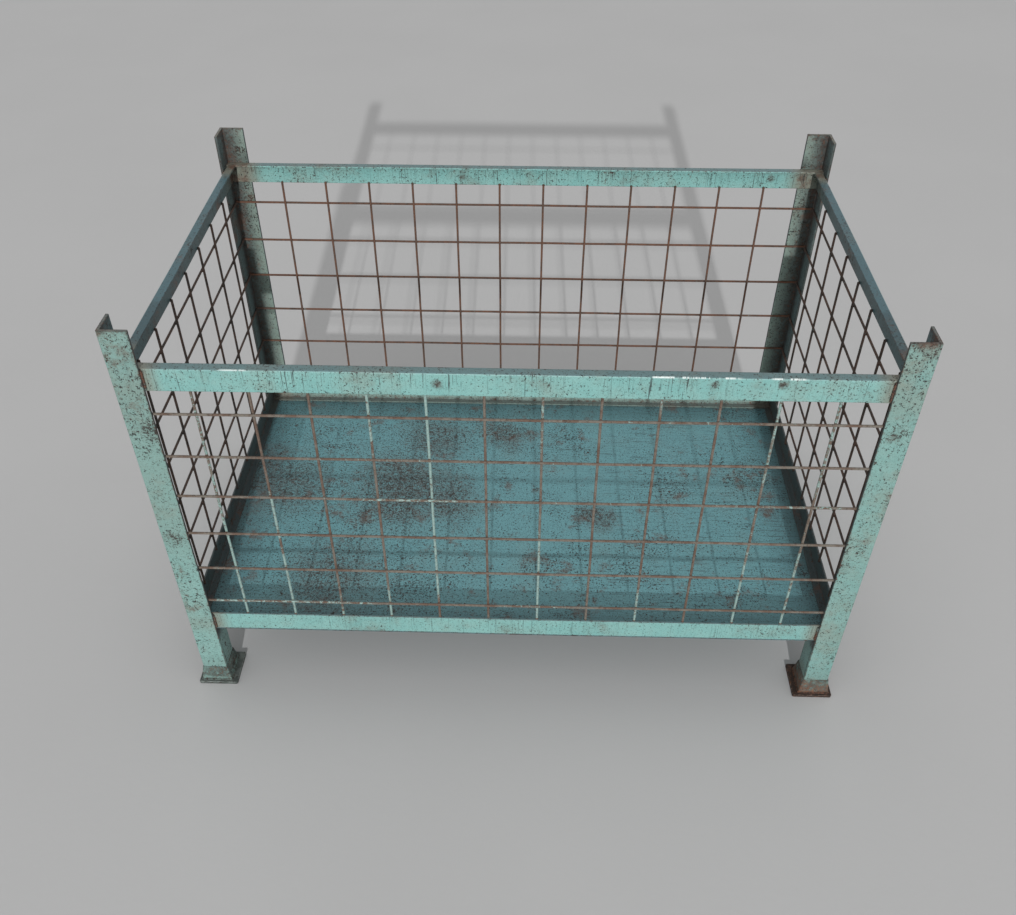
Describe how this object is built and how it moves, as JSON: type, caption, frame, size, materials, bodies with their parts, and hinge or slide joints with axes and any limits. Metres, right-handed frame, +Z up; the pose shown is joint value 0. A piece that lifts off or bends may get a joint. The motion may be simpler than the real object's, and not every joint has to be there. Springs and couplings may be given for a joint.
{
  "type": "wire mesh container",
  "caption": "Open-topped stacking container of welded steel: angle posts with boxed, flared feet on square plates, folded rails, a sheet floor and wire mesh walls.",
  "frame": {"origin": "on the ground at the middle of the footprint", "axes": "+X along the length to the right, +Y to the rear, +Z up"},
  "size_m": [1.38, 0.84, 0.915],
  "materials": {
    "post_paint": "pale green enamel, chipped and stained with rust",
    "rail_paint": "pale green enamel, chipped, with rust at the welds",
    "floor_paint": "blue-green enamel, worn, speckled and scratched",
    "mesh_wire": "rusted drawn wire with remains of paint",
    "foot_plate_steel": "rusted steel plate with dirt"
  },
  "bodies": {
    "root": {"foot_plate_front_left": "foot_plate_steel", "post_front_left": "post_paint", "foot_liner_front_left": "post_paint", "foot_collar_front_left": "post_paint", "foot_plate_front_right": "foot_plate_steel", "post_front_right": "post_paint", "foot_liner_front_right": "post_paint", "foot_collar_front_right": "post_paint", "foot_plate_rear_right": "foot_plate_steel", "post_rear_right": "post_paint", "foot_liner_rear_right": "post_paint", "foot_collar_rear_right": "post_paint", "foot_plate_rear_left": "foot_plate_steel", "post_rear_left": "post_paint", "foot_liner_rear_left": "post_paint", "foot_collar_rear_left": "post_paint", "bottom_rail_front": "rail_paint", "top_rail_front": "rail_paint", "bottom_rail_right": "rail_paint", "top_rail_right": "rail_paint", "bottom_rail_rear": "rail_paint", "top_rail_rear": "rail_paint", "bottom_rail_left": "rail_paint", "top_rail_left": "rail_paint", "floor_sheet": "floor_paint", "floor_stiffener_left": "floor_paint", "floor_stiffener_middle": "floor_paint", "floor_stiffener_right": "floor_paint", "front_uprights": "mesh_wire", "front_cross_wires": "mesh_wire", "right_uprights": "mesh_wire", "right_cross_wires": "mesh_wire", "rear_uprights": "mesh_wire", "rear_cross_wires": "mesh_wire", "left_uprights": "mesh_wire", "left_cross_wires": "mesh_wire"}
  },
  "joints": []
}
